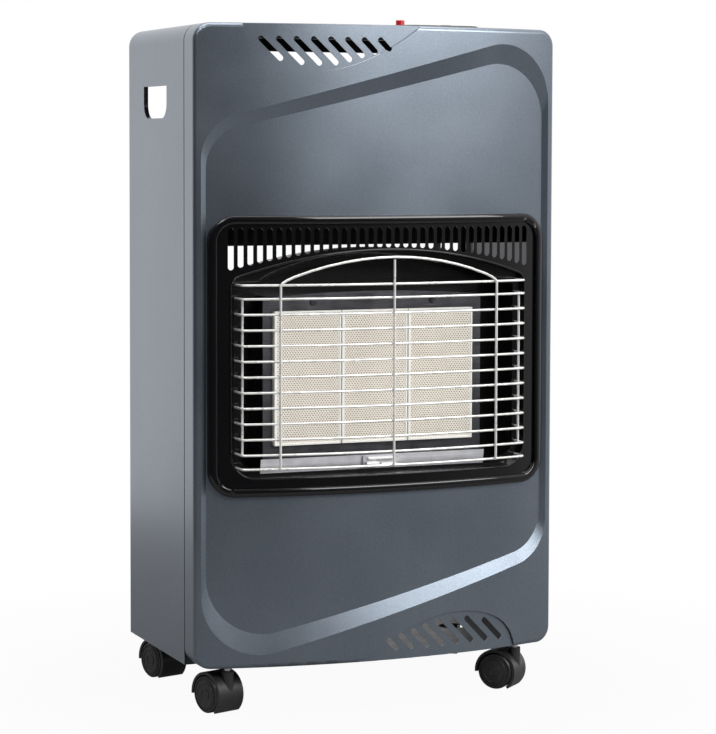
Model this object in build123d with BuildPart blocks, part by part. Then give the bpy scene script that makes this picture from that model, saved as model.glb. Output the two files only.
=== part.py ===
"""A portable gas cabinet heater: a folded steel cabinet on four casters, with a bulged front panel,
a slotted enamel surround, a wire guard and three ceramic plaques. Millimetres, +Z up, the front faces -Y,
and the origin is on the floor under the middle of the heater."""

import os
from math import acos, cos, degrees, radians, sin, sqrt

from build123d import *

os.makedirs("parts", exist_ok=True)

# Cabinet
casing_width = 420.0
casing_height = 682.0
shell_depth = 194.0
panel_side_depth = 30.0
panel_bulge = 31.0
corner_radius = 18.0
sheet = 1.0
rear_top_flange = 20.0
rear_side_hem = 8.0
seam_flange = 14.0
seam_gap = 2.0
seam_recess = 2.0

# Casters
wheel_diameter = 40.0
wheel_width = 10.5
web_width = 12.0
wheel_gap = 0.5
hood_thickness = 3.0
hood_clearance = 1.0
caster_trail = 17.0
stem_diameter = 7.0
stem_boss_diameter = 13.0
axle_diameter = 5.0
running_gap = 0.05
caster_height = 51.0

# Front panel pressing
panel_edge_radius = 5.0
field_depth = 5.0
bevel_run_on = 0.6
field_centre = 339.5
field_outer_half_width = 202.5
field_outer_rise = 290.5
field_outer_slope = 0.262
field_outer_radii = (62.0, 50.0)
field_inner_half_width = 195.3
field_inner_rise = 271.0
field_inner_slope = 0.236
field_inner_radii = (60.0, 45.0)
vent_depth = 2.5
vent_slot_width = 6.4
vent_slot_pitch = 18.6
vent_first_slot = -140.0
vent_slot_top = 665.5
vent_drops = (20.0, 24.0, 24.5, 24.0, 20.5, 16.0, 12.0, 8.5)
bottom_hem = 8.0

# Fire surround
surround_half_width = 195.0
surround_bottom = 183.0
surround_top = 480.0
surround_radius = 27.0
surround_rim = 9.0
surround_relief = 2.5
surround_seat_gap = 0.05
slot_count = 35
slot_pitch = 10.08
slot_width = 6.2
slot_top = 467.0
slot_bottom_middle = 445.5
slot_arch_radius = 650.0
window_half_width = 171.0
window_bottom = 202.5
window_shoulder = 412.0
window_crown = 442.5
window_bottom_radius = 26.0
window_shoulder_radius = 12.0
window_flange = 10.0
window_low_flange = 3.0
panel_hole_margin = 12.0

# Firebox and burner, with depths measured back from the seam plane
window_flange_depth = -30.0
firebox_back = 15.0
plaque_front = -22.0
plaque_width = 76.4
plaque_pitch = 78.0
plaque_bottom = 233.0
plaque_height = 144.0
plaque_thickness = 12.0
plaque_border = 1.8
plaque_border_rise = 1.0
frame_half_width = 128.0
frame_bottom = 216.0
frame_shoulder = 391.0
frame_crown = 397.0
frame_thickness = 1.2
frame_lip = 4.0
burner_half_width = 124.0
burner_top = 393.0
burner_bottom = 218.0
burner_wall = 2.0
burner_screw_rise = 386.6
burner_screw_drop = 223.0
burner_screw_spread = 70.0
burner_low_screw_spread = 50.0
screw_head_radius = 3.6
screw_head_height = 1.8
screw_shank_radius = 1.6
mixing_tube_diameter = 18.0
mixing_tube_wall = 1.2
mixing_tube_foot = 150.0
mixing_tube_depth = -4.0
injector_radius = 4.0
injector_gap = 6.0
manifold_size = 14.0
manifold_half_length = 98.0
bracket_sheet = 1.5
bracket_spread = 104.0
bracket_width = 16.0
deflector_half_length = 131.5
deflector_top = 219.0
deflector_foot = 5.0
deflector_lean = 2.0
deflector_depth = -19.0
pilot_x = 8.0
shield_depth = 40.0
shield_bottom = 445.0
shield_top = 620.0
shield_flange = 12.0

# Guard
wire_diameter = 2.6
weld_gap = 0.03
guard_standoff = 11.3
guard_half_width = 164.4
guard_bend_radius = 5.0
guard_top_wire = 407.4
guard_second_wire = 393.0
guard_pitch = 16.46
guard_pitches = 10
guard_last_wire = 213.6
guard_upright_spread = 125.3
guard_crown = 436.0
guard_shoulder = 404.0
guard_arch_drop = 20.0
guard_bend = 14.0
guard_bend_steps = 3
guard_bow_steps = 12
guard_end_upright_spread = 161.35

# Controls
bezel_centre_x = 106.0
bezel_centre_depth = 72.0
bezel_length = 100.0
bezel_width = 72.0
bezel_radius = 20.0
bezel_rise = 6.0
bezel_wall = 2.0
bezel_overlap = 5.0
knob_offset = 10.0
knob_diameter = 46.0
knob_height = 17.0
knob_gap = 4.0
knob_well_gap = 2.5
well_depth = 14.0
spindle_diameter = 8.0
spindle_travel = 3.0
button_offset = -37.0
button_diameter = 10.0
button_rise = 6.5
button_travel = 4.0
button_gap = 0.1
piezo_diameter = 18.0
piezo_length = 48.0
valve_length = 44.0
valve_width = 32.0
valve_height = 30.0
nozzle_length = 34.0
nozzle_radius = 4.5
pipe_diameter = 8.0

# Hand holes
hand_hole_length = 80.0
hand_hole_height = 35.0
hand_hole_depth = 100.0
hand_hole_rise = 600.5
hand_hole_low_radius = 16.0
hand_hole_high_radius = 9.0
hand_hole_lip = 4.0

# Base plate
base_sheet = 1.2
base_flange = 15.0
base_gap = 0.3
stem_spread = 170.0
front_stem_depth = -23.0
rear_stem_depth = 168.0
base_vent_radius = 15.0
base_vent_spread = 140.0
base_vent_depth = 81.0

# Small sizes of the burner, the controls and the casters
frame_corner_radius = 5.0
screw_depth = 8.0
bell_height = 10.0
bell_flare = 3.0
injector_height = 8.0
injector_hex_rise = 1.5
pilot_plate_depth = -23.0
pilot_plate_length = 44.0
pilot_plate_height = 16.0
pilot_foot = 4.0
guard_end_standoff = 2.3
bezel_edge_radius = 1.8
button_guide_drop = 6.0
button_in_piezo = 8.0
button_edge_radius = 1.0
knob_skirt = 6.0
knob_grip_width = 13.0
knob_edge_radius = 1.5
spindle_in_knob = 10.0
spindle_in_valve = 14.0
valve_corner_radius = 4.0
nozzle_barb = 0.8
nozzle_nut_radius = 8.0
nozzle_nut_length = 8.0
nozzle_plain_end = 18.0
nozzle_first_barb = 20.0
nozzle_bore_radius = 2.5
pipe_rise = 60.0
pipe_inlet_x = 60.0
pipe_bend_radius = 18.0
stem_above_axle = 3.0
stem_collar_radius = 6.5
stem_collar_height = 1.5
stem_nut_radius = 7.0
stem_nut_height = 5.0
boss_top = 46.0
hub_radius = 7.0
hood_rear_angle = 185.0
hood_front_angle = 310.0
wheel_face = 2.0
wheel_groove = 0.8
tread_edge = 1.5
caster_angles = (19.4, 41.3, 17.0, -30.0)

# Worked out from the sizes above
guard_reach = guard_standoff + 1.5 * wire_diameter + weld_gap
hood_reach = wheel_diameter / 2 + hood_clearance + hood_thickness
hood_half_length = web_width / 2 + wheel_width
rear_reach = rear_stem_depth + max(
    (caster_trail + hood_reach) * cos(radians(angle)) + hood_half_length * abs(sin(radians(angle)))
    for angle in caster_angles[2:]
)
seam_y = (panel_side_depth + panel_bulge + guard_reach - max(shell_depth, rear_reach)) / 2
rear_y = seam_y + shell_depth
base_z = caster_height
top_z = base_z + casing_height
half_width = casing_width / 2
bulge_radius = (half_width**2 + panel_bulge**2) / (2 * panel_bulge)
apex_y = seam_y - panel_side_depth - panel_bulge
bulge_axis_y = apex_y + bulge_radius
cut_reach = panel_side_depth + panel_bulge + 20
axle_z = wheel_diameter / 2

# A plane seen from the front: local x is right and local y is up
front_plane = Plane(origin=(0, seam_y, 0), x_dir=(1, 0, 0), z_dir=(0, -1, 0))
side_plane = Plane(origin=(0, 0, 0), x_dir=(0, 1, 0), z_dir=(1, 0, 0))


def at_depth(depth):
    """The front view plane moved back from the seam by a depth."""
    return front_plane.offset(-depth)


def bulge_y(x, inset=0.0):
    """How far forward the bulged front lies at x, on a cylinder this much inside the outer skin."""
    return bulge_axis_y - sqrt((bulge_radius - inset) ** 2 - x**2)


def guard_arch_z(x):
    """Height of the guard's arched wire over the casing's foot at x, a circle through crown and shoulders."""
    spread = guard_upright_spread - guard_bend
    drop = guard_arch_drop
    radius = (spread**2 + drop**2) / (2 * drop)
    return guard_crown - radius + sqrt(radius**2 - x**2)


def save(builder, name):
    """Labels a finished piece and writes it."""
    builder.part.label = name
    export_step(builder.part, f"parts/{name}.step")


def casing_outline(inset):
    """The cabinet's outline from the front, with rounded top corners, drawn in the open sketch."""
    width = casing_width - 2 * inset
    height = casing_height - inset
    with Locations((0, base_z + height / 2)):
        rectangle = Rectangle(width, height)
    fillet(rectangle.vertices().group_by(Axis.Y)[-1], corner_radius - inset)


def flange_opening(side, top):
    """The opening inside a folded flange, from the cabinet's foot up."""
    width = casing_width - 2 * side
    height = casing_height - top + sheet
    with Locations((0, base_z - sheet + height / 2)):
        Rectangle(width, height)


def window_outline(grow):
    """The arched window, wider by grow on every side, drawn in the open sketch."""
    width = window_half_width + grow
    bottom = base_z + window_bottom - grow
    shoulder = base_z + window_shoulder + grow
    crown = base_z + window_crown + grow
    with BuildLine() as line:
        Polyline((-width, shoulder), (-width, bottom), (width, bottom), (width, shoulder))
        ThreePointArc((width, shoulder), (0, crown), (-width, shoulder))
    face = make_face(line.edges())
    corners = face.vertices().group_by(Axis.Y)
    fillet(corners[0], window_bottom_radius + grow)
    fillet(corners[-1], window_shoulder_radius + grow)


def bulge_slice(outer_inset, inner_inset):
    """The space between two cylinders inside the bulged skin, over the whole front."""
    reach = half_width + 5
    with BuildPart() as slab:
        with BuildSketch(Plane.XY):
            with BuildLine():
                front = ThreePointArc(
                    (-reach, bulge_y(reach, outer_inset)),
                    (0, bulge_y(0, outer_inset)),
                    (reach, bulge_y(reach, outer_inset)),
                )
                back = ThreePointArc(
                    (-reach, bulge_y(reach, inner_inset)),
                    (0, bulge_y(0, inner_inset)),
                    (reach, bulge_y(reach, inner_inset)),
                )
                Line(front @ 0, back @ 0)
                Line(front @ 1, back @ 1)
            make_face()
        extrude(amount=top_z + 20)
    return slab.part


# The field is a rounded slanted panel, the same when turned half round about its middle
def field_outline(half, rise, slope, radii):
    """The four corners of the slanted field, with its sharp and blunt corners rounded."""
    middle = base_z + field_centre
    high = rise + slope * half
    low = rise - slope * half
    with BuildSketch(front_plane) as outline:
        with BuildLine():
            Polyline(
                (-half, middle + low),
                (half, middle + high),
                (half, middle - low),
                (-half, middle - high),
                close=True,
            )
        make_face()
        corners = outline.vertices().sort_by(Axis.Y)
        fillet([corners[0], corners[3]], radii[0])
        blunt = [v for v in outline.vertices() if abs(abs(v.Y - middle) - low) < 0.01 and abs(v.X) > half - 0.01]
        fillet(blunt, radii[1])
    return outline.sketch.face().outer_wire()


def on_surface(wire, depth_at):
    """Carries each edge of a front view outline on to the surface whose depth is a function of x."""
    count = 9
    edges = []
    for edge in wire.order_edges():
        points = [edge @ (i / (count - 1)) for i in range(count)]
        edges.append(Edge.make_spline([Vector(p.X, depth_at(p.X), p.Z) for p in points]))
    return Wire(edges)


def field_cutter(extra):
    """The recess of the field with its ruled bevel, deeper by extra than the outer skin's own recess."""
    outer = field_outline(field_outer_half_width, field_outer_rise, field_outer_slope, field_outer_radii)
    inner = field_outline(field_inner_half_width, field_inner_rise, field_inner_slope, field_inner_radii)
    run_on = field_depth + bevel_run_on
    rings = [
        on_surface(outer, lambda x: apex_y - 20),
        on_surface(outer, lambda x: bulge_y(x) + extra),
        on_surface(inner, lambda x: bulge_y(x, run_on) + extra),
        on_surface(inner, lambda x: seam_y + 2 * sheet),
    ]
    column = Solid.make_loft(rings, ruled=True)
    front_space = bulge_slice(-30, field_depth).moved(Location((0, extra, 0)))
    return column & front_space


def vent_line(turned):
    """The lower edge of the top vent recess, or the same turned half round for the bottom one."""
    points = ((-160, 690), (-147, 652), (-92, 632), (-10, 652), (48, 690))
    if turned:
        return [(-x, base_z + 2 * field_centre - z) for x, z in points]
    return [(x, base_z + z) for x, z in points]


def vent_recess(turned, inset):
    """A lens shaped recess that runs out over the panel's edge."""
    points = vent_line(turned)
    with BuildPart() as recess:
        with BuildSketch(front_plane):
            with BuildLine():
                lower = Spline(*points)
                Line(lower @ 0, lower @ 1)
            make_face()
        extrude(amount=cut_reach)
        add(bulge_slice(-20, vent_depth + inset), mode=Mode.INTERSECT)
    return recess.part


def slanted_slots(turned):
    """Eight slanted slots with round ends, cut through the panel inside a vent recess."""
    with BuildPart() as slots:
        with BuildSketch(front_plane):
            for i, drop in enumerate(vent_drops):
                x = vent_first_slot + i * vent_slot_pitch + drop / 2
                z = vent_slot_top - drop / 2
                if turned:
                    x = -x
                    z = 2 * field_centre - z
                with Locations(Location((x, base_z + z, 0), (0, 0, -45))):
                    SlotCenterToCenter(drop * sqrt(2), vent_slot_width)
        extrude(amount=cut_reach)
    return slots.part


def panel_block(inset):
    """The front panel's outer form, or the space inside it, as a bulged block with rounded edges."""
    with BuildPart() as block:
        with BuildSketch(front_plane):
            with Locations((0, base_z + casing_height / 2)):
                RectangleRounded(
                    casing_width - 2 * inset, casing_height - 2 * inset, corner_radius - inset
                )
        extrude(amount=cut_reach)
        add(bulge_slice(inset, panel_side_depth + panel_bulge + cut_reach), mode=Mode.INTERSECT)
        front = block.faces().filter_by(GeomType.CYLINDER).sort_by(Axis.Y)[0]
        fillet(front.edges(), panel_edge_radius - inset)
    return block.part


# Front panel: outer form, less the same form drawn one sheet inside it
panel_hollow = panel_block(sheet) - field_cutter(sheet) - vent_recess(False, sheet) - vent_recess(True, sheet)
rear_slab = Box(casing_width, 2 * cut_reach, 3 * top_z).moved(Location((0, seam_y - sheet + cut_reach, 0)))
panel_hollow = panel_hollow - rear_slab
with BuildPart() as front_panel:
    add(panel_block(0))
    add(field_cutter(0), mode=Mode.SUBTRACT)
    add(vent_recess(False, 0), mode=Mode.SUBTRACT)
    add(vent_recess(True, 0), mode=Mode.SUBTRACT)
    add(panel_hollow, mode=Mode.SUBTRACT)
    add(slanted_slots(False), mode=Mode.SUBTRACT)
    add(slanted_slots(True), mode=Mode.SUBTRACT)
    with BuildSketch(front_plane):
        with Locations((0, base_z + (surround_bottom + surround_top) / 2)):
            RectangleRounded(
                2 * (surround_half_width - panel_hole_margin),
                surround_top - surround_bottom - 2 * panel_hole_margin,
                surround_radius - panel_hole_margin,
            )
    extrude(amount=cut_reach, mode=Mode.SUBTRACT)
    with BuildSketch(at_depth(sheet)):
        flange_opening(seam_flange, seam_flange)
    extrude(amount=3 * sheet, mode=Mode.SUBTRACT)
    hem_width = half_width - corner_radius - bottom_hem / 2
    with BuildSketch(Plane.XY.offset(base_z - sheet)):
        with BuildLine():
            Polyline(
                (-hem_width, bulge_y(hem_width, bottom_hem)),
                (-hem_width, seam_y + sheet),
                (hem_width, seam_y + sheet),
                (hem_width, bulge_y(hem_width, bottom_hem)),
            )
            ThreePointArc(
                (hem_width, bulge_y(hem_width, bottom_hem)),
                (0, bulge_y(0, bottom_hem)),
                (-hem_width, bulge_y(hem_width, bottom_hem)),
            )
        make_face()
    extrude(amount=3 * sheet, mode=Mode.SUBTRACT)
save(front_panel, "front_panel")


def hand_outline(grow):
    """A hand hole with a round belly and tighter top corners, drawn in the open sketch."""
    with Locations((seam_y + hand_hole_depth, base_z + hand_hole_rise)):
        hole = Rectangle(hand_hole_length + 2 * grow, hand_hole_height + 2 * grow)
    rows = hole.vertices().group_by(Axis.Y)
    fillet(rows[0], hand_hole_low_radius + grow)
    fillet(rows[-1], hand_hole_high_radius + grow)


# Outer shell: one sheet folded over the sides and top, with flanges in front and behind
shell_inner_half = half_width - sheet
bezel_y = seam_y + bezel_centre_depth
with BuildPart() as outer_shell:
    with BuildSketch(at_depth(seam_gap)):
        casing_outline(0)
    extrude(amount=seam_gap - shell_depth)
    with BuildSketch(at_depth(seam_gap + sheet)):
        casing_outline(sheet)
    extrude(amount=seam_gap + 2 * sheet - shell_depth, mode=Mode.SUBTRACT)
    with BuildSketch(at_depth(0)):
        flange_opening(seam_flange, seam_flange)
    extrude(amount=-(seam_gap + 2 * sheet), mode=Mode.SUBTRACT)
    with BuildSketch(at_depth(shell_depth - 2 * sheet)):
        flange_opening(rear_side_hem, rear_top_flange)
    extrude(amount=-3 * sheet, mode=Mode.SUBTRACT)
    with BuildSketch(side_plane.offset(-half_width - sheet)):
        hand_outline(0)
    extrude(amount=casing_width + 2 * sheet, mode=Mode.SUBTRACT)
    for face_x, reach in ((shell_inner_half, -hand_hole_lip), (-shell_inner_half, hand_hole_lip)):
        with BuildSketch(side_plane.offset(face_x)):
            hand_outline(sheet)
        extrude(amount=reach)
        with BuildSketch(side_plane.offset(face_x)):
            hand_outline(0)
        extrude(amount=reach, mode=Mode.SUBTRACT)
    with BuildSketch(Plane.XY.offset(top_z - 2 * sheet)):
        with Locations((bezel_centre_x, bezel_y)):
            RectangleRounded(
                bezel_length - 2 * bezel_overlap, bezel_width - 2 * bezel_overlap, bezel_radius - bezel_overlap
            )
    extrude(amount=3 * sheet, mode=Mode.SUBTRACT)
save(outer_shell, "outer_shell")

# Seam frame: a black inner frame set back in the joint between the panel and the shell
with BuildPart() as seam_frame:
    with BuildSketch(front_plane):
        casing_outline(seam_recess)
    extrude(amount=-seam_gap)
    with BuildSketch(front_plane):
        flange_opening(seam_flange, seam_flange)
    extrude(amount=-seam_gap, mode=Mode.SUBTRACT)
save(seam_frame, "seam_frame")

# Base plate: a tray that stands on the panel's bottom hem, with a bulged front edge
base_floor = base_z + sheet
base_front_inset = panel_edge_radius + base_gap
base_front_half = half_width - corner_radius - sheet
base_shoulder_y = seam_y + seam_gap + sheet
base_back_y = rear_y - sheet
stem_places = [
    (-stem_spread, seam_y + front_stem_depth),
    (stem_spread, seam_y + front_stem_depth),
    (-stem_spread, seam_y + rear_stem_depth),
    (stem_spread, seam_y + rear_stem_depth),
]
with BuildPart() as base_plate:
    with BuildSketch(Plane.XY.offset(base_floor)):
        with BuildLine():
            Polyline(
                (-base_front_half, bulge_y(base_front_half, base_front_inset)),
                (-base_front_half, base_shoulder_y),
                (-shell_inner_half, base_shoulder_y),
                (-shell_inner_half, base_back_y),
                (shell_inner_half, base_back_y),
                (shell_inner_half, base_shoulder_y),
                (base_front_half, base_shoulder_y),
                (base_front_half, bulge_y(base_front_half, base_front_inset)),
            )
            ThreePointArc(
                (base_front_half, bulge_y(base_front_half, base_front_inset)),
                (0, bulge_y(0, base_front_inset)),
                (-base_front_half, bulge_y(base_front_half, base_front_inset)),
            )
        make_face()
    extrude(amount=base_sheet)
    with BuildSketch(Plane.XY.offset(base_floor)):
        tray_middle = (0, (base_shoulder_y + base_back_y) / 2)
        tray_depth = base_back_y - base_shoulder_y
        with Locations(tray_middle):
            Rectangle(2 * shell_inner_half, tray_depth)
        with Locations((0, (base_shoulder_y + base_back_y - base_sheet) / 2 - base_sheet)):
            Rectangle(2 * (shell_inner_half - base_sheet), tray_depth + base_sheet, mode=Mode.SUBTRACT)
    extrude(amount=base_flange)
    with BuildSketch(Plane.XY.offset(base_floor)):
        with Locations(*stem_places):
            Circle(stem_diameter / 2 + running_gap)
        with Locations((-base_vent_spread, seam_y + base_vent_depth), (base_vent_spread, seam_y + base_vent_depth)):
            Circle(base_vent_radius)
    extrude(amount=base_sheet, mode=Mode.SUBTRACT)
save(base_plate, "base_plate")


def surround_outline(inset):
    """The surround's rounded rectangle, smaller by inset all round, drawn in the open sketch."""
    with Locations((0, base_z + (surround_bottom + surround_top) / 2)):
        RectangleRounded(
            2 * (surround_half_width - inset),
            surround_top - surround_bottom - 2 * inset,
            surround_radius - inset,
        )


def surround_layer(inset, front_inset, back_inset):
    """A rounded block between two cylinders under the bulged skin."""
    with BuildPart() as layer:
        with BuildSketch(front_plane):
            surround_outline(inset)
        extrude(amount=cut_reach)
        add(bulge_slice(front_inset, back_inset), mode=Mode.INTERSECT)
    return layer.part


# Fire surround: a rim, a lower slotted field, an arched window and the window's side walls
rim_hollow = surround_layer(sheet, sheet, field_depth + sheet) - surround_layer(
    surround_rim - sheet, -sheet, field_depth + 2 * sheet
)
window_plane = at_depth(window_flange_depth)
with BuildPart() as fire_surround:
    add(surround_layer(0, 0, field_depth - surround_seat_gap))
    add(surround_layer(surround_rim, -sheet, surround_relief), mode=Mode.SUBTRACT)
    add(surround_layer(sheet, surround_relief + sheet, field_depth + sheet), mode=Mode.SUBTRACT)
    add(rim_hollow, mode=Mode.SUBTRACT)
    with BuildPart(mode=Mode.PRIVATE) as window_walls:
        with BuildSketch(window_plane):
            window_outline(sheet)
        extrude(amount=cut_reach)
        add(bulge_slice(surround_relief, cut_reach), mode=Mode.INTERSECT)
    add(window_walls.part)
    with BuildSketch(window_plane.offset(sheet)):
        window_outline(0)
    extrude(amount=cut_reach, mode=Mode.SUBTRACT)
    with BuildSketch(window_plane):
        window_outline(-window_flange)
        with Locations((0, base_z + window_bottom + window_low_flange + window_flange)):
            Rectangle(2 * deflector_half_length + window_flange, 2 * window_flange)
    extrude(amount=2 * sheet, mode=Mode.SUBTRACT)
    with BuildSketch(front_plane):
        for i in range(slot_count):
            slot_x = (i - (slot_count - 1) / 2) * slot_pitch
            slot_foot = slot_bottom_middle - slot_x**2 / (2 * slot_arch_radius)
            with Locations(Location((slot_x, base_z + (slot_top + slot_foot) / 2, 0), (0, 0, 90))):
                SlotOverall(slot_top - slot_foot, slot_width)
    extrude(amount=cut_reach, mode=Mode.SUBTRACT)
save(fire_surround, "fire_surround")

# Firebox: a box behind the window with the same arched outline
tube_places = [(x, seam_y + mixing_tube_depth) for x in (-plaque_pitch, 0, plaque_pitch)]
firebox_floor = base_z + window_bottom
with BuildPart() as firebox:
    with BuildSketch(window_plane):
        window_outline(sheet)
    extrude(amount=window_flange_depth - firebox_back)
    with BuildSketch(window_plane):
        window_outline(0)
    extrude(amount=window_flange_depth - firebox_back + sheet, mode=Mode.SUBTRACT)
    with BuildSketch(Plane.XY.offset(firebox_floor - 2 * sheet)):
        with Locations(*tube_places):
            Circle(mixing_tube_diameter / 2 + running_gap)
    extrude(amount=3 * sheet, mode=Mode.SUBTRACT)
save(firebox, "firebox")

# Burner body: three chambers behind the plaques
burner_front = plaque_front + plaque_thickness / 2
burner_ledge = plaque_front + plaque_thickness
burner_back = firebox_back - sheet
plaque_middle = base_z + plaque_bottom + plaque_height / 2
burner_height = burner_top - burner_bottom
screw_places = [
    (-burner_screw_spread, base_z + burner_screw_rise),
    (burner_screw_spread, base_z + burner_screw_rise),
    (-burner_low_screw_spread, base_z + burner_screw_drop),
    (burner_low_screw_spread, base_z + burner_screw_drop),
]
opening_width = 3 * plaque_pitch + plaque_pitch - plaque_width
opening_height = plaque_height + plaque_pitch - plaque_width
with BuildPart() as burner_body:
    with BuildSketch(at_depth(burner_front)):
        with Locations((0, base_z + (burner_top + burner_bottom) / 2)):
            Rectangle(2 * burner_half_width, burner_height)
    extrude(amount=burner_front - burner_back)
    with BuildSketch(at_depth(burner_front)):
        with Locations((0, plaque_middle)):
            Rectangle(opening_width, opening_height)
    extrude(amount=burner_front - burner_ledge, mode=Mode.SUBTRACT)
    with BuildSketch(at_depth(burner_ledge)):
        with Locations((-plaque_pitch, plaque_middle), (0, plaque_middle), (plaque_pitch, plaque_middle)):
            Rectangle(plaque_width - 2 * frame_lip, plaque_height - 2 * frame_lip)
    extrude(amount=burner_ledge - burner_back + burner_wall, mode=Mode.SUBTRACT)
    with BuildSketch(at_depth(burner_front)):
        with Locations(*screw_places):
            Circle(screw_shank_radius + running_gap)
    extrude(amount=-screw_depth, mode=Mode.SUBTRACT)
    with BuildSketch(Plane.XY.offset(base_z + burner_bottom)):
        with Locations(*tube_places):
            Circle(mixing_tube_diameter / 2 - mixing_tube_wall)
    extrude(amount=plaque_bottom - burner_bottom + frame_lip, mode=Mode.SUBTRACT)
save(burner_body, "burner_body")

# Burner frame: the plate round the plaques, with an arched top
with BuildPart() as burner_frame:
    with BuildSketch(at_depth(burner_front)):
        with BuildLine() as frame_line:
            Polyline(
                (-frame_half_width, base_z + frame_shoulder),
                (-frame_half_width, base_z + frame_bottom),
                (frame_half_width, base_z + frame_bottom),
                (frame_half_width, base_z + frame_shoulder),
            )
            ThreePointArc(
                (frame_half_width, base_z + frame_shoulder),
                (0, base_z + frame_crown),
                (-frame_half_width, base_z + frame_shoulder),
            )
        plate = make_face(frame_line.edges())
        fillet(plate.vertices(), frame_corner_radius)
        with Locations((0, plaque_middle)):
            Rectangle(opening_width, opening_height, mode=Mode.SUBTRACT)
        with Locations(*screw_places):
            Circle(screw_shank_radius + running_gap, mode=Mode.SUBTRACT)
    extrude(amount=frame_thickness)
save(burner_frame, "burner_frame")

with BuildPart() as burner_screws:
    with BuildSketch(at_depth(burner_front - frame_thickness)):
        with Locations(*screw_places):
            Circle(screw_head_radius)
    extrude(amount=screw_head_height)
    with BuildSketch(at_depth(burner_front - frame_thickness)):
        with Locations(*screw_places):
            Circle(screw_shank_radius)
    extrude(amount=-(frame_thickness + screw_depth / 2))
save(burner_screws, "burner_screws")

# Ceramic plaques, each with a raised border
for place, plaque_x in (("left", -plaque_pitch), ("middle", 0), ("right", plaque_pitch)):
    with BuildPart() as plaque:
        with BuildSketch(at_depth(plaque_front)):
            with Locations((plaque_x, plaque_middle)):
                Rectangle(plaque_width, plaque_height)
        extrude(amount=-plaque_thickness)
        with BuildSketch(at_depth(plaque_front)):
            with Locations((plaque_x, plaque_middle)):
                Rectangle(plaque_width - 2 * plaque_border, plaque_height - 2 * plaque_border)
        extrude(amount=-plaque_border_rise, mode=Mode.SUBTRACT)
    save(plaque, f"ceramic_plaque_{place}")

# Mixing tubes, with a bell mouth over each injector
tube_radius = mixing_tube_diameter / 2
with BuildPart() as mixing_tubes:
    for tube_x, tube_y in tube_places:
        with BuildSketch(Plane(origin=(tube_x, tube_y, 0), x_dir=(1, 0, 0), z_dir=(0, -1, 0))):
            with BuildLine():
                Polyline(
                    (tube_radius - mixing_tube_wall, base_z + burner_bottom),
                    (tube_radius, base_z + burner_bottom),
                    (tube_radius, base_z + mixing_tube_foot + bell_height),
                    (tube_radius + bell_flare, base_z + mixing_tube_foot),
                    (tube_radius + bell_flare - mixing_tube_wall, base_z + mixing_tube_foot),
                    (tube_radius - mixing_tube_wall, base_z + mixing_tube_foot + bell_height),
                    close=True,
                )
            make_face()
        revolve(axis=Axis((tube_x, tube_y, 0), (0, 0, 1)))
save(mixing_tubes, "mixing_tubes")

# Gas manifold under the firebox, hung from it by two straps, with an injector under each tube
manifold_top = base_z + mixing_tube_foot - injector_height - injector_gap
manifold_middle = manifold_top - manifold_size / 2
with BuildPart() as gas_manifold:
    with BuildSketch(Plane.YZ.offset(-manifold_half_length)):
        with Locations((seam_y + mixing_tube_depth, manifold_middle)):
            RectangleRounded(manifold_size, manifold_size, sheet)
    extrude(amount=2 * manifold_half_length)
save(gas_manifold, "gas_manifold")

with BuildPart() as injectors:
    with BuildSketch(Plane.XY.offset(manifold_top)):
        with Locations(*tube_places):
            RegularPolygon(injector_radius + injector_hex_rise, 6)
    extrude(amount=injector_height / 2)
    with BuildSketch(Plane.XY.offset(manifold_top + injector_height / 2)):
        with Locations(*tube_places):
            Circle(injector_radius)
    extrude(amount=injector_height / 2, taper=12)
save(injectors, "injectors")

bracket_top = firebox_floor - sheet
with BuildPart() as manifold_brackets:
    with BuildSketch(Plane.XZ.offset(-(seam_y + mixing_tube_depth + bracket_width / 2))):
        with BuildLine():
            Polyline(
                (manifold_half_length, manifold_top - manifold_size),
                (manifold_half_length + bracket_sheet, manifold_top - manifold_size),
                (manifold_half_length + bracket_sheet, bracket_top - bracket_sheet),
                (manifold_half_length + bracket_width, bracket_top - bracket_sheet),
                (manifold_half_length + bracket_width, bracket_top),
                (manifold_half_length, bracket_top),
                close=True,
            )
        make_face()
    extrude(amount=bracket_width)
    mirror(about=Plane.YZ)
save(manifold_brackets, "manifold_brackets")

# Polished deflector along the foot of the burner
with BuildPart() as deflector:
    with BuildSketch(Plane.YZ.offset(-deflector_half_length)):
        foot_y = seam_y + deflector_depth
        with BuildLine():
            Polyline(
                (foot_y + deflector_foot, firebox_floor),
                (foot_y, firebox_floor),
                (foot_y - deflector_lean, base_z + deflector_top),
                (foot_y - deflector_lean + sheet, base_z + deflector_top),
                (foot_y + sheet, firebox_floor + sheet),
                (foot_y + deflector_foot, firebox_floor + sheet),
                close=True,
            )
        make_face()
    extrude(amount=2 * deflector_half_length)
save(deflector, "deflector")

# Pilot group in front of the deflector: bracket, burner, spark electrode and thermocouple
pilot_plate_y = seam_y + pilot_plate_depth
pilot_plate_left = pilot_x - pilot_plate_length / 2
with BuildPart() as pilot_bracket:
    with BuildSketch(Plane.YZ.offset(pilot_plate_left)):
        with BuildLine():
            Polyline(
                (pilot_plate_y - pilot_foot, firebox_floor),
                (pilot_plate_y + sheet, firebox_floor),
                (pilot_plate_y + sheet, firebox_floor + pilot_plate_height),
                (pilot_plate_y, firebox_floor + pilot_plate_height),
                (pilot_plate_y, firebox_floor + sheet),
                (pilot_plate_y - pilot_foot, firebox_floor + sheet),
                close=True,
            )
        make_face()
    extrude(amount=pilot_plate_length)
save(pilot_bracket, "pilot_bracket")

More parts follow.
